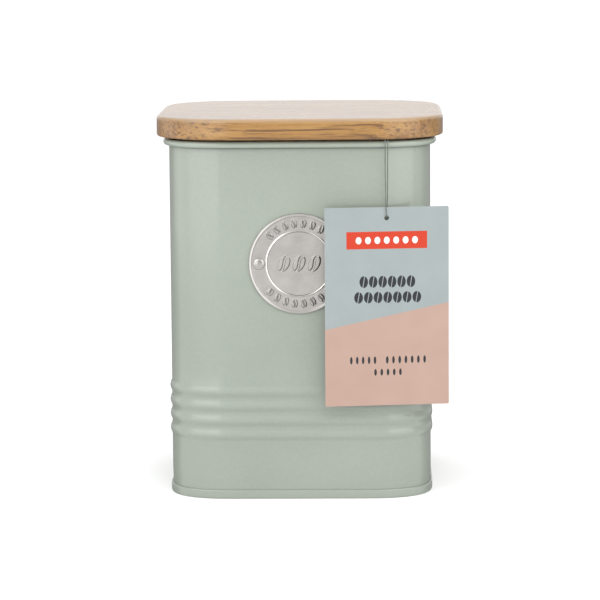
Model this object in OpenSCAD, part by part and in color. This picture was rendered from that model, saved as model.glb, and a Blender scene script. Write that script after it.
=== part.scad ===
// Square-section kitchen coffee tin: a drawn sheet-steel body with a rolled rim, four swaged
// beads and a double-seamed base, a round riveted badge, a bamboo lid board with a sealing plug,
// and a card swing tag on a thread loop that hangs from under the lid.
// Units are millimetres. The tin stands on z = 0 with its front facing -Y.

/* [Tin] */
// Width of the body across its flat sides
body_w = 109.4; // [100:0.2:116]
// Radius of the body's upright corners
body_r = 24; // [16:0.5:30]
// Height of the tin from the table to the top of the rolled rim
body_h = 147.7; // [120:0.1:170]
// Thickness of the sheet steel
sheet = 0.3; // [0.25:0.05:0.4]
// Outer radius of the rolled rim
curl_r = 1.55; // [1.2:0.05:1.8]

/* [Beads] */
// Number of swaged beads round the lower body
bead_n = 4; // [1:1:5]
// Height of the lowest bead's centre
bead_z = 26.5; // [14:0.5:40]
// Distance from one bead to the next
bead_pitch = 6; // [5:0.25:8]
// How far a bead stands out of the wall
bead_out = 0.75; // [0.4:0.05:1]

/* [Seam] */
// Height of the double seam round the base
seam_h = 3.7; // [3:0.1:5]
// How far the seam stands out of the wall
seam_out = 0.9; // [0.8:0.05:1.2]

/* [Badge] */
// Diameter of the badge
badge_d = 41.2; // [36:0.2:44]
// Height of the badge's centre
badge_z = 97.6; // [80:0.2:105]
// Diameter of the plain disc in the middle of the badge
disc_d = 26.8; // [24:0.2:27]
// Distance from the badge's centre to each rivet
rivet_x = 16.4; // [15.5:0.1:17]

/* [Lid] */
// Width of the square lid board
lid_w = 120; // [116:0.5:126]
// Radius of the lid board's corners
lid_r = 31; // [24:0.5:36]
// Thickness of the lid board
lid_t = 8.5; // [6:0.1:14]
// Space between the rolled rim and the lid board
lid_gap = 0.8; // [0.7:0.05:1.2]
// Number of strips that the board is glued up from
strip_n = 6; // [3:1:8]
// Depth of the plug under the board
plug_t = 10; // [8:0.5:14]

/* [Tag] */
// Width of the card tag
tag_w = 51; // [40:0.5:56]
// Length of the card tag
tag_l = 81.4; // [60:0.2:90]
// Thickness of the card
tag_t = 0.4; // [0.3:0.05:0.5]
// Angle that the tag is turned away from the tin's front
tag_yaw = 8; // [0:0.5:10]
// Diameter of the thread
thread_d = 0.45; // [0.3:0.05:0.5]

/* [Hidden] */
$fn = 64;
STRIPS = [for (i = [1 : strip_n]) str("lid_strip_", i)];
TIN = ["tin_body", "base_plate", "badge_plate", "badge_rivets"];

body_half = body_w / 2;
front_y = -body_half;
lid_half = lid_w / 2;
lid_z = body_h + lid_gap;
plug_half = body_half - 4.4;
plug_r = body_r - 4.4;

steel_green = [0.69, 0.74, 0.67];
bare_metal = [0.76, 0.74, 0.72];
bamboo = [0.78, 0.62, 0.42];
silicone = [0.88, 0.88, 0.86];
card_blue = [0.71, 0.76, 0.77];
thread_grey = [0.38, 0.40, 0.37];

// A bead's section is an arc of this radius, set back so that it stands bead_out proud
bead_r = 3.3;

// Seam: the base's channel and the body's flange folded into it
seam_in = 0.7;
seam_round = 0.45;
flange_z = 0.4;
flange_out = 0.5;
flange_top = 3;
panel_z = 3.1;
panel_step = 9;
panel_drop = 0.8;

// Lap seam down the back of the body
lap_w = 6;
lap_out = 0.2;

// Badge relief, as heights above the wall
badge_base = 0.5;
band_top = 0.7;
bead_line = 0.35;
rim_line = 0.55;
mark_out = 0.3;
mark_r = 16.5;
mark_step = 13;
marks_per_arc = 8;
bean_groove = 0.28;
emblem_pitch = 6.2;
emblem_tilt = 28;

// Rivets: shank, domed head and the tail formed inside the tin
shank_r = 1;
hole_play = 0.05;
head_r = 2.45;
head_h = 1.1;
tail_r = 1.7;
tail_h = 0.6;

// Lid edge rounding and gasket
lid_round_top = 1.8;
lid_round_low = 0.7;
groove_z = 3.2;
groove_h = 4;
groove_d = 1.6;
fin_reach = 3.85;
fin_t = 0.7;
fin_rise = 1;

// Tag hole and the thread that holds it. tag_x is the tag's middle, hang_y the plane it hangs in.
tag_x = 35.8;
hang_y = -58.1;
hole_r = 1;
hole_z = 116.6;
hole_drop = 4.4;
tag_corner = 0.6;
thread_sides = 8;
ring_gap = 1.3;
knot_r = 0.95;
knot_at = [35.85, -52.4, 147.2];

// Route of the hanging loop: down in front of the card, through its hole and up behind it
loop_route = [
    [35.3, -58.1, 147.5], [35.3, -58.1, 144], [35.3, -58.15, 138], [35.35, -58.3, 132], [35.4, -58.5, 126],
    [35.5, -58.7, 122], [35.6, -58.9, 119.5], [35.7, -59, 118.1], [35.7, -58.9, 117.6], [35.75, -58.65, 117.3],
    [35.8, -58.3, 117.2], [35.8, -57.9, 117.2], [35.85, -57.55, 117.3], [35.9, -57.3, 117.6],
    [35.9, -57.2, 118.1], [36, -57.3, 119.5], [36.1, -57.5, 122], [36.2, -57.7, 126], [36.25, -57.85, 132],
    [36.3, -58, 138], [36.35, -58.1, 144], [36.4, -58.1, 147.5]
];

// Routes of the two ends under the lid board, from the knot out to the edge of the rim
left_tail = [[35.6, -53.1, 147.4], [35.45, -53.6, 147.7], [35.35, -54.2, 148], [35.3, -55, 148.1], [35.3, -57.5, 148.1]];
right_tail = [[36.1, -53.1, 147.4], [36.25, -53.6, 147.7], [36.35, -54.2, 148], [36.4, -55, 148.1], [36.4, -57.5, 148.1]];

// Carries a section round a rounded square: x = 0 in the section lies on the outline
module around(half, rad) {
    for (side = [0 : 3]) rotate([0, 0, 90 * side]) {
        translate([half - rad, half - rad, 0])
            rotate_extrude(angle = 90) translate([rad, 0]) children();
        translate([half, half - rad, 0])
            rotate([90, 0, 0]) linear_extrude(height = 2 * (half - rad)) children();
    }
}

// A flat plate with a rounded-square outline, its underside at z = 0
module rounded_plate(half, rad, thick) {
    flat = half - rad;
    for (x = [-flat, flat], y = [-flat, flat]) translate([x, y, 0]) cylinder(r = rad, h = thick);
    translate([-half, -flat, 0]) cube([2 * half, 2 * flat, thick]);
    translate([-flat, -half, 0]) cube([2 * flat, 2 * half, thick]);
}

// A rectangle with round corners, from the origin
module rounded_bar(size, rad) {
    for (x = [rad, size.x - rad], y = [rad, size.y - rad]) translate([x, y]) circle(rad);
    translate([rad, 0]) square([size.x - 2 * rad, size.y]);
    translate([0, rad]) square([size.x, size.y - 2 * rad]);
}

// Section of the rolled rim: a ring of sheet, open where its end meets the wall
module curl_section() {
    open = 3;
    difference() {
        circle(curl_r);
        circle(curl_r - sheet);
        polygon([[0, 0], [-open, 0], [-open, -1.3 * open]]);
    }
}

// Section of the body wall, from the flange in the base seam up to the rolled rim
module wall_section() {
    curl_z = body_h - curl_r;
    far = 20;
    difference() {
        union() {
            translate([-sheet, flange_z]) square([sheet, curl_z - flange_z]);
            translate([-sheet, flange_z]) square([flange_out + sheet, sheet]);
            translate([flange_out - sheet, flange_z]) square([sheet, flange_top - flange_z]);
            for (i = [0 : bead_n - 1]) translate([bead_out - bead_r, bead_z + i * bead_pitch]) circle(bead_r);
        }
        translate([-sheet - far, 0]) square([far, body_h]);
        for (i = [0 : bead_n - 1])
            translate([bead_out - bead_r, bead_z + i * bead_pitch]) circle(bead_r - sheet);
    }
    translate([curl_r - sheet, curl_z]) curl_section();
}

// Places children on the front wall: their +Z points out of the tin, at the badge's centre
module on_front() {
    translate([0, front_y, badge_z]) rotate([90, 0, 0]) children();
}

module tin_body() {
    lap_low = seam_h + 0.4;
    lap_high = body_h - 2 * curl_r - 0.4;
    color(steel_green) {
        difference() {
            around(body_half, body_r) wall_section();
            on_front() for (x = [-rivet_x, rivet_x])
                translate([x, 0, -2]) cylinder(r = shank_r + hole_play, h = 4);
        }
        // The overlap of the welded side seam
        translate([-lap_w / 2, body_half - sheet / 2, lap_low])
            cube([lap_w, sheet / 2 + lap_out, lap_high - lap_low]);
    }
}

// Section of the base's channel, which wraps round the body's flange
module seam_section() {
    inner = flange_out + 0.1;
    difference() {
        translate([-seam_in, 0]) rounded_bar([seam_in + seam_out, seam_h], seam_round);
        translate([-seam_in + sheet, sheet]) square([seam_in - sheet + inner, seam_h - 2 * sheet]);
        translate([-seam_in + sheet, seam_h / 2]) square([seam_in - sheet + 0.05, seam_h]);
    }
}

// Section of the base, from the middle of a corner out to the seam: the panel has one step in it
module base_section() {
    step_x = -seam_in - panel_step;
    floor_z = panel_z - panel_drop;
    seam_section();
    translate([step_x, panel_z]) square([panel_step + sheet / 2, sheet]);
    translate([step_x, floor_z]) square([sheet, panel_drop + sheet]);
    translate([-body_r, floor_z]) square([body_r + step_x + sheet, sheet]);
}

module base_plate() {
    core = body_half - body_r;
    color(steel_green) {
        around(body_half, body_r) base_section();
        translate([-core, -core, panel_z - panel_drop]) cube([2 * core, 2 * core, sheet]);
    }
}

// A coffee bean seen from above: a lens shape split by a groove
module bean(len, wide) {
    r = (len * len + wide * wide) / (4 * wide);
    difference() {
        intersection() {
            translate([0, r - wide / 2]) circle(r);
            translate([0, wide / 2 - r]) circle(r);
        }
        translate([-len, -bean_groove / 2]) square([2 * len, bean_groove]);
    }
}

// Section of the badge from its axis to its rim
module badge_section() {
    disc_r = disc_d / 2;
    badge_r = badge_d / 2;
    square([badge_r, badge_base]);
    translate([disc_r, 0]) square([badge_r - disc_r, band_top]);
    translate([disc_r, badge_base]) circle(bead_line);
    translate([badge_r - rim_line, badge_base]) circle(rim_line);
}

module badge_plate() {
    color(bare_metal) on_front() {
        difference() {
            rotate_extrude() intersection() {
                badge_section();
                square([badge_d, badge_d]);
            }
            for (x = [-rivet_x, rivet_x]) translate([x, 0, -1]) cylinder(r = shank_r + hole_play, h = 4);
        }
        for (top = [0, 1], i = [0 : marks_per_arc - 1])
            rotate([0, 0, 180 * top + 90 + mark_step * (i - (marks_per_arc - 1) / 2)])
                translate([mark_r, 0, badge_base]) linear_extrude(height = band_top - badge_base + mark_out)
                    bean(4, 2.4);
        for (i = [-1 : 1]) translate([i * emblem_pitch, 0, 0])
            rotate([0, 0, 90 - emblem_tilt]) linear_extrude(height = badge_base + mark_out) bean(8, 4.6);
    }
}

// One rivet, its head seated on the badge's band and its tail against the inside of the wall
module rivet() {
    dome_r = (head_r * head_r + head_h * head_h) / (2 * head_h);
    difference() {
        translate([0, 0, band_top + head_h - dome_r]) sphere(dome_r, $fn = 128);
        translate([-dome_r, -dome_r, band_top - 2 * dome_r]) cube([2 * dome_r, 2 * dome_r, 2 * dome_r]);
    }
    translate([0, 0, -sheet - tail_h]) cylinder(r = shank_r, h = sheet + tail_h + band_top + head_h / 2);
    translate([0, 0, -sheet - tail_h]) cylinder(r = tail_r, h = tail_h);
}

module badge_rivets() {
    color(bare_metal) on_front() for (x = [-rivet_x, rivet_x]) translate([x, 0, 0]) rivet();
}

// Section of the lid board's edge, with its rounded top and eased bottom arris
module lid_section() {
    translate([-lid_r, 0]) square([lid_r - lid_round_top, lid_t]);
    translate([-lid_round_top - 1, lid_round_low])
        square([lid_round_top + 1, lid_t - lid_round_top - lid_round_low]);
    translate([-lid_round_top - 1, 0]) square([lid_round_top + 1 - lid_round_low, lid_t / 2]);
    translate([-lid_round_top, lid_t - lid_round_top]) circle(lid_round_top);
    translate([-lid_round_low, lid_round_low]) circle(lid_round_low);
}

module lid_board() {
    core = lid_half - lid_r;
    translate([0, 0, lid_z]) {
        around(lid_half, lid_r) lid_section();
        translate([-core, -core, 0]) cube([2 * core, 2 * core, lid_t]);
    }
}

// One of the strips that the board is glued up from, counted from the front
module lid_strip(i) {
    strip_w = lid_w / strip_n;
    color(bamboo) intersection() {
        lid_board();
        translate([-lid_w, -lid_half + (i - 1) * strip_w, lid_z - 1]) cube([2 * lid_w, strip_w, lid_t + 2]);
    }
}

module lid_plug() {
    color(bamboo) difference() {
        translate([0, 0, lid_z - plug_t]) rounded_plate(plug_half, plug_r, plug_t);
        around(plug_half, plug_r)
            translate([-groove_d, lid_z - plug_t + groove_z]) square([groove_d + 1, groove_h]);
    }
}

// A slanting sealing fin, thick at its root and thin at its tip
module fin_section() {
    polygon([[0, 0], [fin_reach, fin_rise], [fin_reach, fin_rise + fin_t / 2], [0, fin_t]]);
}

module lid_gasket() {
    low = lid_z - plug_t + groove_z;
    color(silicone) around(plug_half, plug_r) {
        translate([-groove_d, low]) square([groove_d, groove_h]);
        for (z = [low + 0.2, low + 2.2]) translate([0, z]) fin_section();
    }
}

function unit(v) = v / norm(v);

// A route with points added along its straight stretches, no further than gap apart
function filled(route, gap) = [
    for (i = [0 : len(route) - 2])
        let (a = route[i], b = route[i + 1], steps = ceil(norm(b - a) / gap))
        for (k = [0 : steps - 1]) a + (b - a) * k / steps,
    route[len(route) - 1]
];

// A round tube swept along a route that never runs along X
module tube(route, d) {
    path = filled(route, ring_gap);
    last = len(path) - 1;
    points = [
        for (i = [0 : last])
            let (t = unit(path[min(i + 1, last)] - path[max(i - 1, 0)]))
            let (u = unit(cross(t, [1, 0, 0])), v = cross(t, u))
            for (k = [0 : thread_sides - 1])
                let (a = 360 * k / thread_sides)
                path[i] + d / 2 * (cos(a) * u + sin(a) * v)
    ];
    sides = [
        for (i = [0 : last - 1], k = [0 : thread_sides - 1])
            let (n = (k + 1) % thread_sides, row = i * thread_sides)
            [row + k, row + thread_sides + k, row + thread_sides + n, row + n]
    ];
    start = [for (k = [0 : thread_sides - 1]) k];
    end = [for (k = [thread_sides - 1 : -1 : 0]) last * thread_sides + k];
    polyhedron(points = points, faces = concat(sides, [start, end]));
}

module thread_tails() {
    color(thread_grey) {
        tube(left_tail, thread_d);
        tube(right_tail, thread_d);
    }
}

module thread_knot() {
    color(thread_grey) translate(knot_at) sphere(knot_r);
}

module thread_loop() {
    color(thread_grey) tube(loop_route, thread_d);
}

module tag_card() {
    color(card_blue) translate([tag_x, hang_y, hole_z]) rotate([90, 0, tag_yaw])
        translate([0, 0, -tag_t / 2]) linear_extrude(height = tag_t) difference() {
            translate([-tag_w / 2, hole_drop - tag_l]) rounded_bar([tag_w, tag_l], tag_corner);
            circle(hole_r);
        }
}

tin_body();
base_plate();
badge_plate();
badge_rivets();
for (i = [1 : strip_n]) lid_strip(i);
lid_plug();
lid_gasket();
thread_tails();
thread_knot();
thread_loop();
tag_card();
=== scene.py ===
"""Looks for the square-section coffee tin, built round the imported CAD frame. All sizes are in metres."""

import bmesh
import bpy
import math
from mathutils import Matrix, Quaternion, Vector


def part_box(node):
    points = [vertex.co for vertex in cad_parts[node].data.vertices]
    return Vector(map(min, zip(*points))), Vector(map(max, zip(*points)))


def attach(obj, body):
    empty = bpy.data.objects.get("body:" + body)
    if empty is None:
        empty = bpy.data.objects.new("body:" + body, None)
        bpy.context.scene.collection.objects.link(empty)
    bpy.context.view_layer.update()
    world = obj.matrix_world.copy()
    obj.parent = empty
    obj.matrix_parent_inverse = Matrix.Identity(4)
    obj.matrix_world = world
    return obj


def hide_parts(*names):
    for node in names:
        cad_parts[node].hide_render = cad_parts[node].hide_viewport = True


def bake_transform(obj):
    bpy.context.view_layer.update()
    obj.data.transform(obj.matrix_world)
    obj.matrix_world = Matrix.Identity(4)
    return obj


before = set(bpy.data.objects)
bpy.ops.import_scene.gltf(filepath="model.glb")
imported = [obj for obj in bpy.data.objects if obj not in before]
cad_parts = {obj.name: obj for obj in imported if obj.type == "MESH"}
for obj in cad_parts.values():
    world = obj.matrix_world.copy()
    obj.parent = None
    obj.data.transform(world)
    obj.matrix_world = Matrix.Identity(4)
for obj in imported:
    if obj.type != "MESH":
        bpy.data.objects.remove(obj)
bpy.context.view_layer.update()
MM = 0.001

# ---------------------------------------------------------------- sizes, from the frame
body_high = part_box("tin_body")[1]
base_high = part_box("base_plate")[1]
board_low, board_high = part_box("lid_strip_3")
plug_low, plug_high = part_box("lid_plug")
badge_low, badge_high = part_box("badge_plate")
card_low, card_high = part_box("tag_card")

SHEET = 0.3 * MM
CURL_R = 1.35 * MM
RIM_Z = body_high.z
# How far the wall, the lid board and the seam's outer face lie inside the widest points of their CAD solids
WALL_IN = 3.4 * MM
BOARD_IN = 0.5 * MM
SEAM_IN = 0.9 * MM
BODY_HALF = body_high.x - WALL_IN
BODY_R = 22 * MM
LID_HALF = board_high.x - BOARD_IN
LID_R = 31 * MM
LID_Z = board_low.z
LID_TOP = board_high.z
SEAM_H = base_high.z
SEAM_OUT = base_high.x - BODY_HALF - SEAM_IN
PLUG_IN = BODY_HALF - plug_high.x
STRIPS = [f"lid_strip_{i}" for i in range(1, 7)]

BEAD_N = 4
BEAD_Z = 26.5 * MM
BEAD_PITCH = 6 * MM
BEAD_OUT = 0.75 * MM
BEAD_HALF = 2.5 * MM
BEAD_STEPS = 14

BADGE_R = (badge_high.x - badge_low.x) / 2
BADGE_Z = (badge_high.z + badge_low.z) / 2
DISC_R = 13.4 * MM
RIVET_X = 16.4 * MM

# The corners of every outline are superellipses, which run into the flat sides without a break.
CORNER_POWER = 2.5
CORNER_STEPS = 24
SIDE_STEPS = 12


# ---------------------------------------------------------------- mesh tools
def new_object(name, verts, faces, smooth_angle=40):
    """A mesh object from plain lists, smooth except across edges sharper than smooth_angle."""
    mesh = bpy.data.meshes.new(name)
    mesh.from_pydata([tuple(v) for v in verts], [], faces)
    mesh.validate()
    obj = bpy.data.objects.new(name, mesh)
    bpy.context.scene.collection.objects.link(obj)
    fix_normals(obj)
    shade(obj, smooth_angle)
    return obj


def fix_normals(obj):
    """Turns every face of an object outward."""
    bm = bmesh.new()
    bm.from_mesh(obj.data)
    bmesh.ops.recalc_face_normals(bm, faces=bm.faces)
    bm.to_mesh(obj.data)
    bm.free()


def shade(obj, smooth_angle):
    """Smooth shading, broken at edges sharper than smooth_angle degrees."""
    obj.data.shade_smooth()
    obj.data.set_sharp_from_angle(angle=math.radians(smooth_angle))


def rounded_square(half, rad):
    """Points round a rounded square as (x, y, normal x, normal y), counter-clockwise from the +X side."""
    reach = rad * (1 - 0.5 ** 0.5) / (1 - 0.5 ** (1 / CORNER_POWER))
    flat = half - reach
    quarter = []
    for i in range(SIDE_STEPS):
        quarter.append((half, flat * (2 * i / SIDE_STEPS - 1), 1.0, 0.0))
    for i in range(CORNER_STEPS):
        turn = math.radians(90 * i / CORNER_STEPS)
        slope = math.tan(turn) ** (1 / (CORNER_POWER - 1))
        x = reach / (1 + slope ** CORNER_POWER) ** (1 / CORNER_POWER)
        quarter.append((flat + x, flat + x * slope, math.cos(turn), math.sin(turn)))
    points = []
    for side in range(4):
        c, s = [(1, 0), (0, 1), (-1, 0), (0, -1)][side]
        for x, y, nx, ny in quarter:
            points.append((c * x - s * y, s * x + c * y, c * nx - s * ny, s * nx + c * ny))
    return points


def sweep(name, section, outline, closed=True, cap=False, extra=None, smooth_angle=40):
    """Carries a section of (offset, height) points round an outline. cap fills the first and last rings."""
    verts, faces = [], []
    n, m = len(outline), len(section)
    for i, (x, y, nx, ny) in enumerate(outline):
        more = extra(x, y) if extra else 0.0
        for off, z in section:
            verts.append((x + nx * (off + more), y + ny * (off + more), z))
    for i in range(n):
        j = (i + 1) % n
        for k in range(m if closed else m - 1):
            after = (k + 1) % m
            faces.append((i * m + k, j * m + k, j * m + after, i * m + after))
    if cap:
        faces.append([i * m for i in range(n)][::-1])
        faces.append([i * m + m - 1 for i in range(n)])
    return new_object(name, verts, faces, smooth_angle)


def thick_section(path, thick):
    """A closed section that follows a path at half of thick on each side of it."""
    left, right = [], []
    for i, (x, z) in enumerate(path):
        a, b = path[max(i - 1, 0)], path[min(i + 1, len(path) - 1)]
        t = Vector((b[0] - a[0], b[1] - a[1])).normalized()
        left.append((x - t.y * thick / 2, z + t.x * thick / 2))
        right.append((x + t.y * thick / 2, z - t.x * thick / 2))
    return left + right[::-1]


def arc(cx, cz, r, start, end, steps):
    """Points along an arc in a section, with the angles in degrees."""
    turn = [math.radians(start + (end - start) * i / steps) for i in range(steps + 1)]
    return [(cx + r * math.cos(a), cz + r * math.sin(a)) for a in turn]


def smoothstep(low, high, x):
    """An even rise from 0 at low to 1 at high. With low above high it falls instead."""
    t = min(max((x - low) / (high - low), 0.0), 1.0)
    return t * t * (3 - 2 * t)


def lathe(name, profile, centre, steps=48):
    """Turns a profile of (radius, distance out of the front) round an axis along Y."""
    verts, faces = [], []
    for r, out in profile:
        for k in range(steps):
            a = 2 * math.pi * k / steps
            verts.append((centre[0] + r * math.cos(a), centre[1] - out, centre[2] + r * math.sin(a)))
    for i in range(len(profile) - 1):
        for k in range(steps):
            after = (k + 1) % steps
            faces.append((i * steps + k, i * steps + after, (i + 1) * steps + after, (i + 1) * steps + k))
    faces.append(list(range(steps)))
    faces.append([(len(profile) - 1) * steps + k for k in range(steps)])
    return new_object(name, verts, faces)


# ---------------------------------------------------------------- material tools
class Shader:
    """A small wrapper that builds one node material on a Principled BSDF."""

    def __init__(self, name):
        self.mat = bpy.data.materials.new(name)
        self.mat.use_nodes = True
        self.tree = self.mat.node_tree
        self.bsdf = self.tree.nodes["Principled BSDF"]

    def node(self, kind, **sets):
        n = self.tree.nodes.new(kind)
        for key, value in sets.items():
            setattr(n, key, value)
        return n

    def link(self, a, b):
        self.tree.links.new(a, b)

    def put(self, socket, value):
        """Links a node's socket, or sets a constant."""
        if isinstance(value, bpy.types.NodeSocket):
            self.link(value, socket)
        else:
            socket.default_value = value

    def set(self, **values):
        for key, value in values.items():
            self.put(self.bsdf.inputs[key.replace("_", " ")], value)

    def place(self, scale=(1, 1, 1), move=(0, 0, 0), turn=(0, 0, 0)):
        """Object coordinates, moved, then turned, then scaled."""
        coord = self.node("ShaderNodeTexCoord").outputs["Object"]
        if any(move):
            shift = self.node("ShaderNodeVectorMath", operation="ADD")
            self.link(coord, shift.inputs[0])
            shift.inputs[1].default_value = move
            coord = shift.outputs[0]
        n = self.node("ShaderNodeMapping", vector_type="POINT")
        self.link(coord, n.inputs["Vector"])
        n.inputs["Rotation"].default_value = turn
        n.inputs["Scale"].default_value = scale
        return n.outputs[0]

    def noise(self, where, scale, detail=3.0, rough=0.5, distort=0.0):
        n = self.node("ShaderNodeTexNoise")
        self.link(where, n.inputs["Vector"])
        n.inputs["Scale"].default_value = scale
        n.inputs["Detail"].default_value = detail
        n.inputs["Roughness"].default_value = rough
        n.inputs["Distortion"].default_value = distort
        return n.outputs["Fac"]

    def ramp(self, fac, stops, mode="LINEAR"):
        n = self.node("ShaderNodeValToRGB")
        n.color_ramp.interpolation = mode
        while len(n.color_ramp.elements) < len(stops):
            n.color_ramp.elements.new(0.5)
        for e, (pos, colour) in zip(n.color_ramp.elements, stops):
            e.position = pos
            e.color = (*colour, 1) if len(colour) == 3 else colour
        self.link(fac, n.inputs[0])
        return n.outputs[0]

    def math(self, op, a, b=0.0, clamp=False):
        n = self.node("ShaderNodeMath", operation=op, use_clamp=clamp)
        self.put(n.inputs[0], a)
        self.put(n.inputs[1], b)
        return n.outputs[0]

    def remap(self, fac, low, high, to_low, to_high):
        n = self.node("ShaderNodeMapRange")
        self.put(n.inputs[0], fac)
        for i, v in enumerate((low, high, to_low, to_high)):
            n.inputs[i + 1].default_value = v
        return n.outputs[0]

    def mix(self, fac, a, b, blend="MIX"):
        n = self.node("ShaderNodeMix", data_type="RGBA", blend_type=blend)
        self.put(n.inputs[0], fac)
        for socket, value in ((n.inputs[6], a), (n.inputs[7], b)):
            if isinstance(value, (tuple, list)):
                value = (*value, 1) if len(value) == 3 else value
            self.put(socket, value)
        return n.outputs[2]

    def split(self, vector):
        n = self.node("ShaderNodeSeparateXYZ")
        self.link(vector, n.inputs[0])
        return n.outputs

    def bump(self, height, distance, strength=1.0, normal=None):
        n = self.node("ShaderNodeBump")
        n.inputs["Strength"].default_value = strength
        n.inputs["Distance"].default_value = distance
        self.link(height, n.inputs["Height"])
        if normal is not None:
            self.link(normal, n.inputs["Normal"])
        return n.outputs[0]


def srgb(r, g, b):
    """A linear colour from screen values of 0 to 255."""
    return tuple(((c / 255 + 0.055) / 1.055) ** 2.4 for c in (r, g, b))


# ---------------------------------------------------------------- camera
CAM_AZIMUTH = math.radians(1.3)
CAM_DISTANCE = 1.300
CAM_HEIGHT = 0.2457
CAM_LENS = 184.3
CAM_ROLL = math.radians(-0.42)
SENSOR_W = 36
CAM_TARGET = Vector((-0.0010, 0, 0.0755))


def make_camera():
    data = bpy.data.cameras.new("camera")
    data.sensor_width = SENSOR_W
    data.lens = CAM_LENS
    data.clip_end = 20
    cam = bpy.data.objects.new("camera", data)
    spot = Vector((math.sin(CAM_AZIMUTH) * CAM_DISTANCE, -math.cos(CAM_AZIMUTH) * CAM_DISTANCE, CAM_HEIGHT))
    cam.location = spot
    aim = (CAM_TARGET - spot).to_track_quat("-Z", "Y")
    cam.rotation_euler = (aim @ Quaternion((0, 0, 1), CAM_ROLL)).to_euler()
    bpy.context.scene.collection.objects.link(cam)
    bpy.context.scene.camera = cam


# ---------------------------------------------------------------- thread
# The same points as the routes in the CAD source, here in metres.
LOOP_ROUTE = [
    (0.0353, -0.0581, 0.1475), (0.0353, -0.0581, 0.144), (0.0353, -0.05815, 0.138),
    (0.03535, -0.0583, 0.132), (0.0354, -0.0585, 0.126), (0.0355, -0.0587, 0.122),
    (0.0356, -0.0589, 0.1195), (0.0357, -0.059, 0.1181), (0.0357, -0.0589, 0.1176),
    (0.03575, -0.05865, 0.1173), (0.0358, -0.0583, 0.1172), (0.0358, -0.0579, 0.1172),
    (0.03585, -0.05755, 0.1173), (0.0359, -0.0573, 0.1176), (0.0359, -0.0572, 0.1181),
    (0.036, -0.0573, 0.1195), (0.0361, -0.0575, 0.122), (0.0362, -0.0577, 0.126),
    (0.03625, -0.05785, 0.132), (0.0363, -0.058, 0.138), (0.03635, -0.0581, 0.144),
    (0.0364, -0.0581, 0.1475),
]
LEFT_TAIL = [
    (0.0356, -0.0531, 0.1474), (0.03545, -0.0536, 0.1477), (0.03535, -0.0542, 0.148),
    (0.0353, -0.055, 0.1481), (0.0353, -0.0575, 0.1481),
]
RIGHT_TAIL = [
    (0.0361, -0.0531, 0.1474), (0.03625, -0.0536, 0.1477), (0.03635, -0.0542, 0.148),
    (0.0364, -0.055, 0.1481), (0.0364, -0.0575, 0.1481),
]
BEND_OUT = (0.0353, -0.05795, 0.14795)
BEND_BACK = (0.0364, -0.05795, 0.14795)
KNOT_AT = Vector((0.03585, -0.0524, 0.1472))
KNOT_R = 0.95 * MM
THREAD_D = 0.45 * MM
THREAD_STEP = 0.12 * MM
PLIES = 3
PLY_PITCH = 1.7 * MM
PLY_R = 0.27 * THREAD_D
PLY_SIDES = 6
THREAD_DARK = srgb(62, 67, 60)
THREAD_PALE = srgb(98, 104, 94)
KNOT_STEPS = 120
KNOT_SIDES = 10
# The trefoil's formula reaches about this far from its middle, and is stretched this much front to back
TREFOIL_REACH = 3.1
TREFOIL_DEEP = 1.4


def smooth_route(points, rounds=3):
    """Cuts the corners of a route, keeping its two ends."""
    pts = [Vector(p) for p in points]
    for _ in range(rounds):
        cut = [pts[0]]
        for a, b in zip(pts, pts[1:]):
            cut += [a.lerp(b, 0.25), a.lerp(b, 0.75)]
        pts = cut + [pts[-1]]
    return pts


def evenly(points, gap):
    """The same line with its points about gap apart."""
    along = [0.0]
    for a, b in zip(points, points[1:]):
        along.append(along[-1] + (b - a).length)
    count = max(2, round(along[-1] / gap))
    out, k = [], 0
    for i in range(count + 1):
        at = along[-1] * i / count
        while k < len(along) - 2 and along[k + 1] < at:
            k += 1
        span = along[k + 1] - along[k]
        out.append(points[k].lerp(points[k + 1], (at - along[k]) / span if span else 0))
    return out


def carried_frames(points):
    """A pair of axes across each point of a line, turned as little as possible from one to the next."""
    frames, side = [], None
    for i, p in enumerate(points):
        t = (points[min(i + 1, len(points) - 1)] - points[max(i - 1, 0)]).normalized()
        if side is None:
            side = t.orthogonal()
        side = (side - t * side.dot(t)).normalized()
        frames.append((side.copy(), t.cross(side)))
    return frames


def tube_mesh(lines, radius, sides):
    """Vertices and faces of closed tubes along several lines."""
    verts, faces = [], []
    for line in lines:
        base = len(verts)
        for p, (u, v) in zip(line, carried_frames(line)):
            for k in range(sides):
                a = 2 * math.pi * k / sides
                verts.append(p + radius * (math.cos(a) * u + math.sin(a) * v))
        for i in range(len(line) - 1):
            for k in range(sides):
                after = (k + 1) % sides
                faces.append((base + i * sides + k, base + i * sides + after,
                              base + (i + 1) * sides + after, base + (i + 1) * sides + k))
        faces.append([base + k for k in range(sides)][::-1])
        faces.append([base + (len(line) - 1) * sides + k for k in range(sides)])
    return verts, faces


def make_thread():
    """Three twisted plies along the whole route, from the knot, through the card's hole and back."""
    route = LEFT_TAIL + [BEND_OUT] + LOOP_ROUTE + [BEND_BACK] + RIGHT_TAIL[::-1]
    line = evenly(smooth_route(route), THREAD_STEP)
    frames = carried_frames(line)
    turn = 2 * math.pi * THREAD_STEP / PLY_PITCH
    plies = []
    for ply in range(PLIES):
        start = 2 * math.pi * ply / PLIES
        plies.append([
            p + (THREAD_D / 2 - PLY_R) * (math.cos(start + i * turn) * u + math.sin(start + i * turn) * v)
            for i, (p, (u, v)) in enumerate(zip(line, frames))
        ])
    verts, faces = tube_mesh(plies, PLY_R, PLY_SIDES)
    thread = new_object("tag_thread", verts, faces, 80)
    thread.data.materials.append(thread_material())
    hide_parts("thread_tails", "thread_loop")
    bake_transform(thread)
    return thread, line


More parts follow.
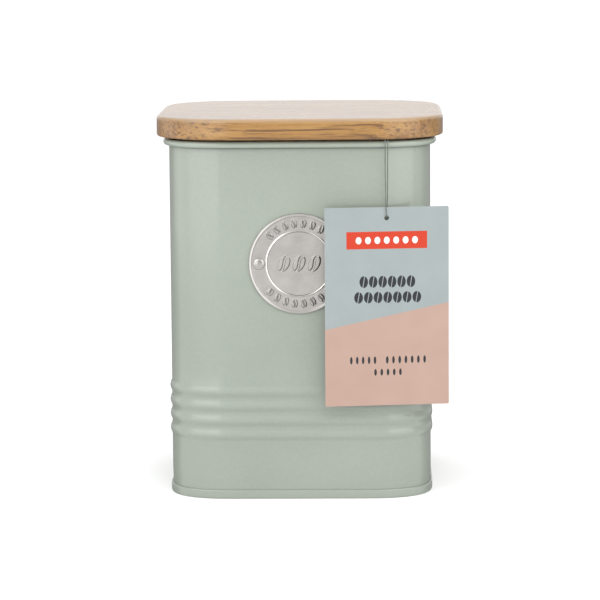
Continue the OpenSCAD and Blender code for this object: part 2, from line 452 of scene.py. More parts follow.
def make_knot():
    """A tight trefoil of thread, the size of the CAD knot."""
    ring = []
    for i in range(KNOT_STEPS + 1):
        a = 2 * math.pi * i / KNOT_STEPS
        x = math.sin(a) + 2 * math.sin(2 * a)
        y = math.cos(a) - 2 * math.cos(2 * a)
        z = -math.sin(3 * a)
        ring.append(KNOT_AT + Vector((x, z * TREFOIL_DEEP, y)) * (KNOT_R - THREAD_D / 2) / TREFOIL_REACH)
    verts, faces = tube_mesh([ring], THREAD_D / 2, KNOT_SIDES)
    knot = new_object("thread_tie_knot", verts, faces, 80)
    knot.data.materials.append(thread_material())
    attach(knot, "lid")
    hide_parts("thread_knot")
    return knot


def thread_material():
    """Grey spun thread, made once for the thread and its knot."""
    found = bpy.data.materials.get("spun_thread")
    if found:
        return found
    s = Shader("spun_thread")
    fine = s.noise(s.place(), 9000, 4, 0.7)
    long = s.noise(s.place(), 700, 2)
    both = s.math("MULTIPLY", s.math("ADD", fine, long), 0.5)
    colour = s.ramp(both, [(0.35, THREAD_DARK), (0.65, THREAD_PALE)])
    s.set(Base_Color=colour, Roughness=s.remap(fine, 0.3, 0.7, 0.6, 0.85),
          Normal=s.bump(fine, 0.03 * MM, 0.6), Sheen_Weight=0.3)
    return s.mat


# ---------------------------------------------------------------- tin body
NECK_IN = 0.22 * MM
CURL_END = -128
WALL_STEPS = 16
# The welded overlap down the back: how thick it looks and how far it reaches on each side of the middle
LAP_H = 0.22 * MM
LAP_REACH = 3.0 * MM
ENAMEL_LOW = srgb(124, 131, 121)
ENAMEL_HIGH = srgb(128, 135, 125)
ENAMEL_SPECK = srgb(176, 182, 172)
ENAMEL_RIM_PAINTED_LIGHT = srgb(135, 143, 132)
ENAMEL_CREVICE_SHADE = srgb(66, 71, 64)
# The base's section: the fold inside the flange, the corners' radius, the panel and the step down in it
FOLD_IN = -0.55 * MM
FOLD_R = 0.42 * MM
PANEL_Z = 3.25 * MM
PANEL_STEP = -9.4 * MM
PANEL_DROP = 0.8 * MM
PANEL_END = -16 * MM


def wall_path():
    """Middle of the sheet, from inside the base seam up to the end of the rolled rim."""
    mid = -SHEET / 2
    # Just above the seam the wall is necked in a little: shares of NECK_IN, and heights in millimetres
    neck = [(0, 0.8), (0, 2.4), (0.6, 3.4), (1, 4.4), (0.9, 5.6), (0.35, 7.4), (0, 9.6), (0, 15)]
    path = [(mid - NECK_IN * share, z * MM) for share, z in neck]
    for i in range(BEAD_N):
        centre = BEAD_Z + i * BEAD_PITCH
        for k in range(BEAD_STEPS + 1):
            at = -1 + 2 * k / BEAD_STEPS
            swell = math.cos(math.pi * at / 2) ** 1.5 if abs(at) < 1 else 0.0
            path.append((mid + BEAD_OUT * swell, centre + BEAD_HALF * at))
    top = BEAD_Z + (BEAD_N - 1) * BEAD_PITCH + BEAD_HALF
    curl_z = RIM_Z - CURL_R
    for k in range(1, WALL_STEPS):
        path.append((mid, top + (curl_z - top) * k / WALL_STEPS))
    r = CURL_R - SHEET / 2
    return path + arc(mid + r, curl_z, r, 180, CURL_END, 34)


def lap(x, y):
    """The welded overlap down the back: a joggle on one side, a cut edge on the other."""
    if y < 0 or abs(x) > LAP_REACH + 0.2 * MM:
        return 0.0
    cut_edge = smoothstep(-LAP_REACH - 0.05 * MM, -LAP_REACH + 0.05 * MM, x)
    return LAP_H * smoothstep(LAP_REACH, 1.0 * MM, x) * cut_edge


def with_lap(outline):
    """Adds points across the middle of the back, so that the overlap has a crisp edge."""
    across = [3.1, 2.4, 1.8, 1.2, 0.8, -1.0, -2.9, -2.95, -3.05, -3.1]
    back = 0.9 * BODY_HALF
    points = [p for p in outline if p[1] < back or abs(p[0]) > LAP_REACH + 0.3 * MM]
    split = next(i for i, p in enumerate(points) if p[1] > back and p[0] < 0)
    return points[:split] + [(x * MM, BODY_HALF, 0.0, 1.0) for x in across] + points[split:]


def enamel(name, seed):
    """Satin lacquer on steel: faint orange peel, slow drift of tone, painted light on the rim and a line of
    painted shade under it.
    """
    s = Shader(name)
    where = s.place(move=(seed, seed, seed))
    drift = s.noise(where, 18, 2)
    speck = s.noise(where, 900, 3, 0.6)
    peel = s.noise(where, 2600, 2, 0.4)
    dent = s.noise(where, 22, 1, 0.3)
    streak = s.noise(s.place(scale=(1, 1, 0.08), move=(seed, 0, 0)), 260, 3, 0.6)
    base = s.mix(s.remap(drift, 0.35, 0.65, 0, 1), ENAMEL_LOW, ENAMEL_HIGH)
    base = s.mix(s.remap(speck, 0.45, 0.75, 0, 0.06), base, ENAMEL_SPECK)
    height = s.split(s.place())[2]
    under = RIM_Z - 2 * CURL_R
    # Painted light: from the underside of the curl upward the paint is paler, as if lit more than the lid's
    # overhang allows
    base = s.mix(s.remap(height, under, under + 0.3 * MM, 0, 1), base, ENAMEL_RIM_PAINTED_LIGHT)
    # Painted shade: a thin dark band on the wall just under the curl, where the curl's shadow falls
    crevice_shade = s.math("MULTIPLY", s.remap(height, under - 0.7 * MM, under - 0.3 * MM, 0, 0.6),
                     s.remap(height, under - 0.05 * MM, under + 0.1 * MM, 1, 0))
    base = s.mix(crevice_shade, base, ENAMEL_CREVICE_SHADE)
    rough = s.math("ADD", s.remap(streak, 0.3, 0.7, -0.03, 0.04), s.remap(speck, 0.3, 0.7, 0.33, 0.39))
    fine = s.bump(peel, 0.003 * MM, 0.2)
    s.set(Base_Color=base, Roughness=rough, Normal=s.bump(dent, 0.2 * MM, 0.2, fine),
          Coat_Weight=0.65, Coat_Roughness=0.1, Specular_IOR_Level=0.35)
    return s.mat


def make_tin():
    """The steel body: wall, beads, rolled rim and the overlap down its back."""
    outline = with_lap(rounded_square(BODY_HALF, BODY_R))
    tin = sweep("tin_shell", thick_section(wall_path(), SHEET), outline, extra=lap, smooth_angle=50)
    tin.data.materials.append(enamel("sage_enamel", 0.0))
    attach(tin, "tin")
    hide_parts("tin_body")


def make_base():
    """The base: a channel folded round the body's flange, and a panel with one step in it."""
    half = SHEET / 2
    out, inner, r = SEAM_OUT - half, FOLD_IN, FOLD_R
    top, panel = SEAM_H - half, PANEL_Z
    path = [(0.12 * MM, top - 0.02 * MM), (0.3 * MM, top)]
    path += arc(out - r, top - r, r, 90, 0, 5)
    path += [(out + 0.03 * MM, SEAM_H / 2)]
    path += arc(out - r, half + r, r, 0, -90, 5)
    path += arc(inner + r, half + r, r, -90, -180, 5)
    path += arc(inner - r, panel - r, r, 0, 90, 5)
    step, low = PANEL_STEP, panel - PANEL_DROP
    path += [(-4 * MM, panel)]
    path += arc(step + r, panel - r, r, 90, 180, 4)
    path += arc(step - r, low + r, r, 0, -90, 4)
    path += [(-12 * MM, low), (PANEL_END, low)]
    base = sweep("base_end", thick_section(path, SHEET), rounded_square(BODY_HALF, BODY_R), smooth_angle=50)
    close_middle(base, PANEL_END, low, half)
    base.data.materials.append(enamel("sage_enamel_base", 3.7))
    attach(base, "tin")
    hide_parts("base_plate")


def close_middle(obj, off, z, half):
    """Replaces the innermost edge of a swept panel by faces right across it, above and below."""
    bm = bmesh.new()
    bm.from_mesh(obj.data)
    reach = BODY_HALF + off + 0.01 * MM
    inside = [f for f in bm.faces
              if all(abs(v.co.x) < reach and abs(v.co.y) < reach for v in f.verts)]
    bmesh.ops.delete(bm, geom=inside, context="FACES_ONLY")
    for level in (z - half, z + half):
        rim = [e for e in bm.edges if e.is_boundary
               and all(abs(v.co.z - level) < 0.02 * MM for v in e.verts)]
        bmesh.ops.edgeloop_fill(bm, edges=rim)
    bmesh.ops.recalc_face_normals(bm, faces=bm.faces)
    bm.to_mesh(obj.data)
    bm.free()
    shade(obj, 50)


# ---------------------------------------------------------------- badge
def bean_height(x, y, length, width):
    """Height from 0 to 1 of a coffee bean that lies along x, with a groove down its middle."""
    d = math.hypot(2 * x / length, 2 * y / width)
    if d >= 1:
        return 0.0
    body = smoothstep(1.0, 0.78, d) * (0.8 + 0.2 * math.sqrt(1 - d * d))
    bend = y - 0.10 * width * math.sin(math.pi * 2 * x / length)
    groove = 1 - smoothstep(0.06 * width, 0.15 * width, abs(bend))
    return body * (1 - 0.95 * groove * smoothstep(1.0, 0.85, d))


BADGE_RINGS = 170
BADGE_STEPS = 520
# Heights of the badge's disc and band, and of what is raised on them. Half widths of the ring and the edge
DISC_H = 0.5 * MM
BAND_H = 0.7 * MM
RAISED = 0.45 * MM
RING_HALF = 0.36 * MM
EDGE_HALF = 0.65 * MM
EDGE_H = 0.5 * MM
# Painted highlights on the ridges at the badge's left and right, as (how bright, how wide): the ring round
# the disc, and the badge's edge
HIGHLIGHT_RING = (0.9, 0.42 * MM)
HIGHLIGHT_EDGE = (0.6, 0.32 * MM)
MARKS_PER_ARC = 8
MARK_STEP = 13
MARK_R = 16.5 * MM
MARK_SIZE = (4.0 * MM, 2.5 * MM)
EMBLEM_PITCH = 6.2 * MM
EMBLEM_SIZE = (8.0 * MM, 4.8 * MM)
EMBLEM_TURN = math.radians(62)
METAL_DULL = srgb(160, 157, 153)
METAL_CLEAR = srgb(181, 177, 174)
METAL_TARNISH_AND_SHADE = srgb(58, 56, 54)
METAL_HIGHLIGHT = srgb(252, 248, 244)


def badge_relief(r, a):
    """How far the badge stands out of the wall, at radius r and angle a."""
    h = DISC_H + (BAND_H - DISC_H) * smoothstep(DISC_R - 0.1 * MM, DISC_R + 0.35 * MM, r)
    if abs(r - DISC_R) < RING_HALF:
        h = max(h, DISC_H + RAISED * math.sqrt(1 - ((r - DISC_R) / RING_HALF) ** 2))
    edge_r = BADGE_R - EDGE_HALF
    if r > edge_r - EDGE_HALF:
        swell = math.sqrt(max(0.0, 1 - ((r - edge_r) / EDGE_HALF) ** 4))
        edge = DISC_H * smoothstep(BADGE_R, BADGE_R - 0.1 * MM, r) + EDGE_H * swell
        h = max(h if r < edge_r else 0.0, edge)
    if abs(r - MARK_R) < 2.2 * MM:
        deg = math.degrees(a) % 180
        i = round((deg - 90) / MARK_STEP + (MARKS_PER_ARC - 1) / 2)
        if 0 <= i < MARKS_PER_ARC:
            off = math.radians(deg - 90 - MARK_STEP * (i - (MARKS_PER_ARC - 1) / 2))
            h += RAISED * bean_height(r - MARK_R, MARK_R * off, *MARK_SIZE)
    if r < DISC_R:
        x, y = r * math.cos(a), r * math.sin(a)
        for i in (-1, 0, 1):
            u, v = x - i * EMBLEM_PITCH, y
            c, s = math.cos(EMBLEM_TURN), math.sin(EMBLEM_TURN)
            h += RAISED * bean_height(c * u + s * v, -s * u + c * v, *EMBLEM_SIZE)
    return h


def mark_slopes(badge, rings, steps):
    """Stores at each vertex its slope, for tarnish and painted shade, and a painted highlight on left and
    right ridges.
    """
    slope = badge.data.attributes.new("slope", "FLOAT", "POINT")
    painted_highlight = badge.data.attributes.new("painted_highlight", "FLOAT", "POINT")
    gap = rings[1] - rings[0]
    for i, r in enumerate(rings[:-3]):
        for k in range(steps):
            a = 2 * math.pi * k / steps
            turn = gap / max(r, gap)
            rise = abs(badge_relief(r + gap, a) - badge_relief(r - gap, a))
            rise += abs(badge_relief(r, a + turn) - badge_relief(r, a - turn))
            side = smoothstep(0.15, 0.75, abs(math.cos(a)))
            to_ridge = min(abs(r - DISC_R), abs(r - BADGE_R + EDGE_HALF))
            # Painted highlight: ridges facing left and right are kept clear of the darkening and painted
            # bright
            lit_ridge = side * smoothstep(0.7 * MM, 0.3 * MM, to_ridge)
            # Tarnish and painted shade on the slopes, left off the ridges that face left and right
            slope.data[1 + i * steps + k].value = smoothstep(0.25, 1.6, rise / (2 * gap)) * (1 - lit_ridge)
            shine, width = HIGHLIGHT_RING if r < MARK_R else HIGHLIGHT_EDGE
            painted_highlight.data[1 + i * steps + k].value = shine * side * smoothstep(width, 0.1 * MM, to_ridge)


def make_badge():
    """The embossed badge: a round height field on the wall, closed at the back."""
    rings = [BADGE_R * (i / BADGE_RINGS) for i in range(1, BADGE_RINGS + 1)]
    steps = BADGE_STEPS
    front = -BODY_HALF
    verts = [(0, front - badge_relief(0, 0), BADGE_Z)]
    for r in rings:
        for k in range(steps):
            a = 2 * math.pi * k / steps
            verts.append((r * math.cos(a), front - badge_relief(r, a), BADGE_Z + r * math.sin(a)))
    for k in range(steps):
        a = 2 * math.pi * k / steps
        verts.append((BADGE_R * math.cos(a), front, BADGE_Z + BADGE_R * math.sin(a)))
    faces = [(0, 1 + (k + 1) % steps, 1 + k) for k in range(steps)]
    for i in range(len(rings)):
        for k in range(steps):
            after = (k + 1) % steps
            a, b = 1 + i * steps, 1 + (i + 1) * steps
            faces.append((a + k, a + after, b + after, b + k))
    faces.append([1 + len(rings) * steps + k for k in range(steps)])
    badge = new_object("badge", verts, faces, 60)
    mark_slopes(badge, rings, steps)
    badge.data.materials.append(badge_metal("embossed_metal", 0.34))
    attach(badge, "tin")
    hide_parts("badge_plate")


def badge_metal(name, rough_mid):
    """Bare pressed metal: fine brushing along X, tarnish with painted shade on the slopes, and painted
    highlights on ridges.
    """
    s = Shader(name)
    brush = s.noise(s.place(scale=(0.04, 1, 1)), 5200, 3, 0.6)
    haze = s.noise(s.place(), 160, 4, 0.6)
    grain = s.noise(s.place(), 4200, 2, 0.5)
    tone = s.math("ADD", s.math("MULTIPLY", haze, 0.6), s.math("MULTIPLY", brush, 0.4))
    slope = s.node("ShaderNodeAttribute", attribute_name="slope").outputs["Fac"]
    painted_highlight = s.node("ShaderNodeAttribute", attribute_name="painted_highlight").outputs["Fac"]
    base = s.ramp(tone, [(0.3, METAL_DULL), (0.7, METAL_CLEAR)])
    # Steep slopes darkened: partly tarnish, partly painted shade standing in for their dark reflections
    base = s.mix(s.math("MULTIPLY", slope, 0.6), base, METAL_TARNISH_AND_SHADE)
    # Painted highlight on the ridges at the badge's left and right
    base = s.mix(painted_highlight, base, METAL_HIGHLIGHT)
    haze_rough = s.remap(haze, 0.3, 0.7, rough_mid - 0.05, rough_mid + 0.05)
    rough = s.math("ADD", s.remap(brush, 0.3, 0.7, -0.05, 0.06), haze_rough)
    normal = s.bump(grain, 0.01 * MM, 0.25, s.bump(brush, 0.012 * MM, 0.3))
    s.set(Base_Color=base, Roughness=rough, Normal=normal, Metallic=1.0)
    return s.mat


def make_rivets():
    """Two domed rivets through the badge and the wall, upset on the inside."""
    head_r, head_h = 2.45 * MM, 1.1 * MM
    shank_r, tail_r, seat = 1.0 * MM, 1.7 * MM, BAND_H
    dome = [(head_r * math.cos(a), seat + 0.15 * MM + (head_h - 0.15 * MM) * math.sin(a))
            for a in [math.radians(90 * i / 12) for i in range(13)]]
    dome[-1] = (0.05 * MM, seat + head_h)
    back, tail = -SHEET, -SHEET - 0.6 * MM
    profile = dome[::-1] + [(head_r, seat), (shank_r, seat), (shank_r, back), (1.55 * MM, back),
                            (tail_r, back - 0.15 * MM), (tail_r, tail + 0.2 * MM), (1.45 * MM, tail)]
    metal = badge_metal("rivet_metal", 0.26)
    for side, x in (("left", -RIVET_X), ("right", RIVET_X)):
        rivet = lathe("rivet_" + side, profile, (x, -BODY_HALF, BADGE_Z))
        rivet.data.materials.append(metal)
        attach(rivet, "tin")
    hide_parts("badge_rivets")


# ---------------------------------------------------------------- lid
BAMBOO_DARK = srgb(74, 44, 16)
BAMBOO_DEEP = srgb(114, 77, 30)
BAMBOO_MID = srgb(134, 95, 39)
BAMBOO_LIGHT = srgb(154, 117, 61)
BAMBOO_EDGE_HIGHLIGHT = srgb(148, 123, 93)
TOP_R = 1.7 * MM
UNDER_R = 0.8 * MM
# The board's section and the plug's section end this far inside their outlines and are filled across
BOARD_RING = -7 * MM
PLUG_RING = -8 * MM
GROOVE_LOW = 3.2 * MM
GROOVE_H = 4.0 * MM
GROOVE_D = 1.6 * MM
# The gasket's fins: how far they reach, how much they rise and how thick they are, and where they start
FIN = (3.25 * MM, 1.0 * MM, 0.7 * MM)
FIN_ROOTS = (0.2 * MM, 2.2 * MM)
SILICONE_LOW = srgb(214, 214, 208)
SILICONE_HIGH = srgb(232, 232, 228)


def bamboo(name, seed):
    """Oiled bamboo with its fibres along X: streaks on the faces, and dots where the ends are cut."""
    s = Shader(name)
    x, y, z = s.split(s.place())
    strip = s.math("FLOOR", s.math("DIVIDE", s.math("ADD", y, LID_HALF), 2 * LID_HALF / len(STRIPS)))
    tone = s.node("ShaderNodeTexWhiteNoise", noise_dimensions="1D")
    s.link(s.math("ADD", strip, seed), tone.inputs["W"])
    strip_tone = tone.outputs["Value"]
    # Each strip's fibres start from a place of their own
    slide = s.node("ShaderNodeCombineXYZ")
    s.link(s.math("MULTIPLY", strip_tone, 0.7), slide.inputs[0])
    s.link(s.math("MULTIPLY", strip_tone, 0.31), slide.inputs[1])
    moved = s.node("ShaderNodeVectorMath", operation="ADD")
    s.link(s.place(), moved.inputs[0])
    s.link(slide.outputs[0], moved.inputs[1])

    def along(stretch):
        n = s.node("ShaderNodeMapping", vector_type="POINT")
        s.link(moved.outputs[0], n.inputs["Vector"])
        n.inputs["Scale"].default_value = (stretch, 1, 1)
        return n.outputs[0]

    fibre = s.noise(along(0.035), 1500, 3, 0.55)
    bundle = s.noise(along(0.035), 900, 3, 0.6, 0.2)
    band = s.noise(along(0.06), 150, 2, 0.5)
    pore = s.noise(along(0.06), 3000, 2, 0.6)
    base = s.ramp(band, [(0.30, BAMBOO_DEEP), (0.5, BAMBOO_MID), (0.72, BAMBOO_LIGHT)])
    base = s.mix(s.remap(fibre, 0.42, 0.60, 0.0, 0.5), base, BAMBOO_LIGHT)
    base = s.mix(s.remap(bundle, 0.51, 0.63, 0.0, 0.9), base, BAMBOO_DARK)
    base = s.mix(s.remap(pore, 0.56, 0.70, 0.0, 0.6), base, BAMBOO_DARK)
    base = s.mix(s.math("MULTIPLY", strip_tone, 0.22), base, BAMBOO_DEEP)
    # Painted highlight: the rounded edge round the top is painted paler, like the light it reflects
    edge_highlight = s.math("MULTIPLY", s.remap(z, LID_TOP - 1.8 * MM, LID_TOP - 0.7 * MM, 0, 0.75),
                    s.remap(z, LID_TOP - 0.04 * MM, LID_TOP - 0.01 * MM, 1, 0))
    base = s.mix(edge_highlight, base, BAMBOO_EDGE_HIGHLIGHT)
    rough = s.remap(fibre, 0.3, 0.7, 0.34, 0.46)
    height = s.math("SUBTRACT", s.math("MULTIPLY", fibre, 0.5), s.remap(bundle, 0.5, 0.7, 0, 0.6))
    relief = s.bump(height, 0.09 * MM, 0.6)
    s.set(Base_Color=base, Roughness=rough, Normal=relief, Coat_Normal=relief,
          Coat_Weight=0.95, Coat_Roughness=0.18, Specular_IOR_Level=0.25)
    return s.mat


def board_section():
    """The board's edge as (offset, height): rounded a little below and more above."""
    section = [(BOARD_RING, LID_Z), (-UNDER_R - 1 * MM, LID_Z)]
    section += arc(-UNDER_R, LID_Z + UNDER_R, UNDER_R, -90, 0, 5)
    section += [(0, LID_Z + 3 * MM), (0, LID_TOP - 3 * MM)]
    section += arc(-TOP_R, LID_TOP - TOP_R, TOP_R, 0, 90, 8)
    return section + [(-TOP_R - 1 * MM, LID_TOP), (BOARD_RING, LID_TOP)]


def cut_strip(board, name, low, high):
    """A copy of the board between two upright planes across Y, its cut faces closed."""
    bm = bmesh.new()
    bm.from_mesh(board.data)
    for y, outer in ((low, False), (high, True)):
        if abs(y) < LID_HALF - 0.1 * MM:
            geom = bm.verts[:] + bm.edges[:] + bm.faces[:]
            cut = bmesh.ops.bisect_plane(bm, geom=geom, plane_co=(0, y, 0), plane_no=(0, 1, 0),
                                         clear_outer=outer, clear_inner=not outer)
            edges = [e for e in cut["geom_cut"] if isinstance(e, bmesh.types.BMEdge)]
            bmesh.ops.edgeloop_fill(bm, edges=edges)
    bmesh.ops.recalc_face_normals(bm, faces=bm.faces)
    mesh = bpy.data.meshes.new(name)
    bm.to_mesh(mesh)
    bm.free()
    obj = bpy.data.objects.new(name, mesh)
    bpy.context.scene.collection.objects.link(obj)
    shade(obj, 50)
    return obj


def make_lid():
    """The lid board, cut from one blank into its strips."""
    board = sweep("board_blank", board_section(), rounded_square(LID_HALF, LID_R), closed=False, cap=True)
    wood = bamboo("bamboo_board", 0.0)
    width = 2 * LID_HALF / len(STRIPS)
    for i, node in enumerate(STRIPS):
        strip = cut_strip(board, "board_" + node, -LID_HALF + i * width, -LID_HALF + (i + 1) * width)
        strip.data.materials.append(wood)
        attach(strip, "lid")
        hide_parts(node)
    bpy.data.objects.remove(board)


def make_plug():
    """The plug under the board, with the groove for the gasket round it."""
    low, high, r = plug_low.z, plug_high.z, 0.5 * MM
    groove, above = low + GROOVE_LOW, low + GROOVE_LOW + GROOVE_H
    section = [(PLUG_RING, low)] + arc(-r, low + r, r, -90, 0, 4)
    section += [(0, groove), (-GROOVE_D, groove), (-GROOVE_D, above), (0, above)]
    section += [(0, high), (PLUG_RING, high)]
    section = [(x - PLUG_IN, z) for x, z in section]
    plug = sweep("lid_plug_board", section, rounded_square(BODY_HALF, BODY_R), closed=False, cap=True)
    plug.data.materials.append(bamboo("bamboo_plug", 11.0))
    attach(plug, "lid")
    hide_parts("lid_plug")


def make_gasket():
    """A silicone ring in the plug's groove, with two thin fins that slant up to the wall."""
    low = plug_low.z + GROOVE_LOW
    reach, rise, thick = FIN
    section = [(-GROOVE_D, low), (0, low)]
    for root in (low + start for start in FIN_ROOTS):
        section += [(0, root), (reach * 0.5, root + rise * 0.4), (reach, root + rise),
                    (reach - 0.05 * MM, root + rise + thick / 2),
                    (reach * 0.5, root + rise * 0.4 + thick * 0.8), (0, root + thick)]
    section += [(0, low + GROOVE_H), (-GROOVE_D, low + GROOVE_H)]
    section = [(x - PLUG_IN, z) for x, z in section]
    ring = sweep("gasket_ring", section, rounded_square(BODY_HALF, BODY_R), smooth_angle=30)
    ring.data.materials.append(silicone())
    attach(ring, "lid")
    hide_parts("lid_gasket")


def silicone():
    """Milky silicone with a little dust on it."""
    s = Shader("clear_silicone")
    dust = s.noise(s.place(), 1200, 3, 0.6)
    cloud = s.noise(s.place(), 60, 2)
    s.set(Base_Color=s.ramp(cloud, [(0.3, SILICONE_LOW), (0.7, SILICONE_HIGH)]),
          Roughness=s.remap(dust, 0.3, 0.7, 0.38, 0.55), Normal=s.bump(dust, 0.01 * MM, 0.3),
          Subsurface_Weight=0.4, Subsurface_Radius=(0.004, 0.004, 0.004), Subsurface_Scale=0.3)
    return s.mat


# ---------------------------------------------------------------- tag
TAG_YAW = math.radians(8)
TAG_W = 51 * MM
TAG_L = 81.4 * MM
TAG_MID = Vector((0.0358, -0.0581, (card_low.z + card_high.z) / 2))
CARD_BLUE = (srgb(127, 135, 135), srgb(131, 139, 139))
CARD_PINK = (srgb(152, 127, 115), srgb(156, 131, 119))
CARD_BACK = (srgb(186, 184, 180), srgb(196, 194, 190))
CARD_RED = srgb(170, 44, 14)
CARD_WHITE = srgb(196, 193, 190)
CARD_INK = srgb(30, 31, 35)
# The print, in shares of the card's width and of its length from the top. The join between the two colours:
JOIN_V = 0.612
JOIN_LEAN = 0.128
# The label as (left, right, top, low), and every row as ((left, right), top, low, number of marks)
LABEL = (0.175, 0.825, 0.122, 0.209)
LABEL_ROW = ((0.235, 0.765), 0.148, 0.184, 7)
HEADING_ROWS = [((0.275, 0.732), 0.345, 0.404, 6), ((0.232, 0.780), 0.425, 0.482, 7)]
SMALL_ROWS = [
    ((0.186, 0.425), 0.751, 0.789, 5), ((0.475, 0.828), 0.751, 0.789, 7),
    ((0.380, 0.632), 0.815, 0.849, 5),
]
# How much of its place in the row a mark fills, and half the width of a bean's groove
LABEL_FILL = 0.62
HEADING_FILL = 0.9
SMALL_FILL = 0.42
BEAN_GROOVE = 0.04


def box_mask(s, u, v, left, right, top, low):
    """1 inside a rectangle of the card's face, in shares of its width and of its length from the top."""
    inside = s.math("COMPARE", u, (left + right) / 2)
    inside.node.inputs[2].default_value = (right - left) / 2
    level = s.math("COMPARE", v, (top + low) / 2)
    level.node.inputs[2].default_value = (low - top) / 2
    return s.math("MULTIPLY", inside, level)


def row_mask(s, u, v, span, top, low, count, fill, groove=0.0):
    """A row of ovals, each with an optional slanting groove, between two heights."""
    left, right = span
    cell = s.math("MULTIPLY", s.math("SUBTRACT", u, left), count / (right - left))
    x = s.math("SUBTRACT", s.math("FRACT", cell), 0.5)
    y = s.math("DIVIDE", s.math("SUBTRACT", v, (top + low) / 2), (low - top) / 2)
    wide = s.math("POWER", s.math("ABSOLUTE", s.math("DIVIDE", x, fill / 2)), 2.0)
    tall = s.math("POWER", s.math("ABSOLUTE", y), 2.0)
    oval = s.math("LESS_THAN", s.math("ADD", wide, tall), 1.0)
    if groove:
        lean = s.math("ADD", x, s.math("MULTIPLY", y, 0.10))
        oval = s.math("MULTIPLY", oval, s.math("GREATER_THAN", s.math("ABSOLUTE", lean), groove))
    return s.math("MULTIPLY", oval, box_mask(s, u, v, left, right, top, low))


def card_material():
    """Coated card, printed in two colours with a slanting join, a plain label and rows of bean marks."""
    s = Shader("printed_card")
    local = s.place(move=tuple(-TAG_MID), turn=(0, 0, -TAG_YAW))
    across, out, up = s.split(local)
    u = s.math("ADD", s.math("DIVIDE", across, TAG_W), 0.5)
    v = s.math("SUBTRACT", 0.5, s.math("DIVIDE", up, TAG_L))
    fibre = s.noise(s.place(), 900, 4, 0.7)
    mottle = s.noise(s.place(), 90, 3)
    uneven = s.remap(mottle, 0.3, 0.7, 0, 1)
    blue, pink, back = (s.mix(uneven, *pair) for pair in (CARD_BLUE, CARD_PINK, CARD_BACK))
    join = s.math("ADD", v, s.math("MULTIPLY", u, JOIN_LEAN))
    face = s.mix(s.math("GREATER_THAN", join, JOIN_V), blue, pink)
    face = s.mix(box_mask(s, u, v, *LABEL), face, CARD_RED)
    face = s.mix(row_mask(s, u, v, *LABEL_ROW, LABEL_FILL), face, CARD_WHITE)
    ink = 0.0
    for row in HEADING_ROWS:
        ink = s.math("ADD", ink, row_mask(s, u, v, *row, HEADING_FILL, BEAN_GROOVE))
    for row in SMALL_ROWS:
        ink = s.math("ADD", ink, row_mask(s, u, v, *row, SMALL_FILL))
    face = s.mix(ink, face, CARD_INK)
    printed = s.math("LESS_THAN", out, 0.0)
    s.set(Base_Color=s.mix(printed, back, face), Roughness=s.remap(fibre, 0.3, 0.7, 0.5, 0.62),
          Normal=s.bump(fibre, 0.012 * MM, 0.3), Specular_IOR_Level=0.4)
    return s.mat


def make_tag():
    """The card is the CAD node itself, with its print as a material."""
    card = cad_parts["tag_card"]
    card.data.materials.clear()
    card.data.materials.append(card_material())
    return card


# ---------------------------------------------------------------- floor and light
FLOOR_HALF = 14.0
FLOOR_GREY = (0.79, 0.81)
# Brightness of the studio's parts
MIDDLE_LIGHT = 1.0
WALL_LIGHT = 0.55
CEILING_LIGHT = 1.6
LOW_FRONT_LIGHT = 1.35
LOW_BACK_LIGHT = 0.3
# Each light box: its name, its turn from the front in degrees, its lower edge, its height and its power
BOXES = [
    ("left_front", -42, 0.02, 0.4, 1.6),
    ("left_side", -98, 0.02, 0.4, 0.7),
    ("right_front", 52, 0.02, 0.4, 1.5),
    ("left_high", -45, 0.42, 0.5, 3.4),
    ("right_high", 54, 0.42, 0.5, 3.2),
]
BOX_AWAY = 0.8
BOX_W = 0.85
# Each diffuse light: its name, power, softness, height above the floor and turn to the right, in degrees
SUNS = [("key", 0.9, 25, 35, 9), ("fill", 0.32, 30, 5, -12)]


def make_floor():
    """A plain pale floor, left out of reflections, and so wide that its far edge stays out of view."""
    corners = [(-1, -1), (1, -1), (1, 1), (-1, 1)]
    verts = [(FLOOR_HALF * x, FLOOR_HALF * y, 0) for x, y in corners]
    floor = new_object("floor", verts, [(0, 1, 2, 3)])
    s = Shader("pale_floor")
    soft = s.noise(s.place(), 3, 2)
    darker, paler = FLOOR_GREY
    s.set(Base_Color=s.ramp(soft, [(0.3, (darker,) * 3), (0.7, (paler,) * 3)]), Roughness=0.9,
          Specular_IOR_Level=0.1)
    floor.data.materials.append(s.mat)
    floor.visible_glossy = False


def area_light(name, spot, aim, size, power):
    """A white rectangular light at spot, turned to face aim."""
    data = bpy.data.lights.new(name, "AREA")
    data.shape = "RECTANGLE"
    data.size, data.size_y = size
    data.energy = power
    lamp = bpy.data.objects.new(name, data)
    lamp.location = spot
    lamp.rotation_euler = (Vector(aim) - Vector(spot)).to_track_quat("-Z", "Y").to_euler()
    bpy.context.scene.collection.objects.link(lamp)


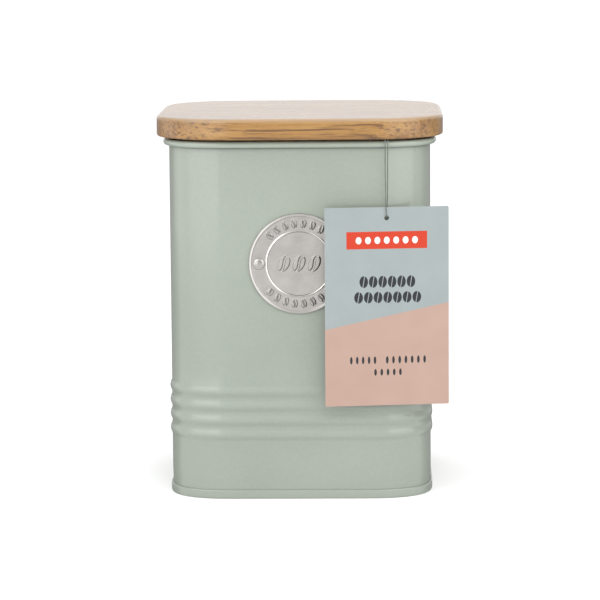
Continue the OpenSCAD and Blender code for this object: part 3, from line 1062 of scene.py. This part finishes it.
def studio_world():
    """White surroundings: bright above, in the middle and low in front, darker beside and low behind."""
    world = bpy.data.worlds.new("studio")
    world.use_nodes = True
    tree = world.node_tree

    def smooth_range(source, low, high, to_low, to_high):
        n = tree.nodes.new("ShaderNodeMapRange")
        n.interpolation_type = "SMOOTHSTEP"
        for i, value in enumerate((low, high, to_low, to_high)):
            n.inputs[i + 1].default_value = value
        tree.links.new(source, n.inputs[0])
        return n.outputs[0]

    def maths(operation, *sources):
        n = tree.nodes.new("ShaderNodeMath")
        n.operation = operation
        for source, socket in zip(sources, n.inputs):
            tree.links.new(source, socket)
        return n.outputs[0]

    def blend(fac, a, b):
        n = tree.nodes.new("ShaderNodeMix")
        tree.links.new(fac, n.inputs[0])
        for value, socket in ((a, n.inputs[2]), (b, n.inputs[3])):
            if isinstance(value, bpy.types.NodeSocket):
                tree.links.new(value, socket)
            else:
                socket.default_value = value
        return n.outputs[0]

    coord = tree.nodes.new("ShaderNodeTexCoord")
    split = tree.nodes.new("ShaderNodeSeparateXYZ")
    tree.links.new(coord.outputs["Generated"], split.inputs[0])
    x, y, z = split.outputs
    walls = smooth_range(maths("ABSOLUTE", x), 0.16, 0.5, MIDDLE_LIGHT, WALL_LIGHT)
    low = smooth_range(y, 0.2, 0.6, LOW_FRONT_LIGHT, LOW_BACK_LIGHT)
    level = blend(smooth_range(z, -0.06, 0.0, 1, 0), walls, low)
    level = blend(smooth_range(z, 0.45, 0.85, 0, 1), level, CEILING_LIGHT)
    tree.links.new(level, tree.nodes["Background"].inputs[1])
    tree.nodes["Background"].inputs[0].default_value = (1, 1, 1, 1)
    bpy.context.scene.world = world


def make_light():
    """The studio's surroundings, its light boxes, and two lights that add no highlights."""
    studio_world()
    bpy.context.scene.view_settings.view_transform = "Standard"
    for name, turn, low, tall, power in BOXES:
        a = math.radians(turn)
        spot = (BOX_AWAY * math.sin(a), -BOX_AWAY * math.cos(a), low + tall / 2)
        area_light("box_" + name, spot, (0, 0, spot[2]), (BOX_W, tall), power)
    for name, power, soft, height, turn in SUNS:
        data = bpy.data.lights.new(name, "SUN")
        data.energy = power
        data.angle = math.radians(soft)
        sun = bpy.data.objects.new(name, data)
        sun.rotation_euler = (math.radians(90 - height), 0, math.radians(turn))
        sun.visible_glossy = False
        bpy.context.scene.collection.objects.link(sun)


# ---------------------------------------------------------------- the scene
make_camera()
thread, thread_line = make_thread()
knot = make_knot()
card = make_tag()
make_tin()
make_base()
make_badge()
make_rivets()
make_lid()
make_plug()
make_gasket()
make_floor()
make_light()
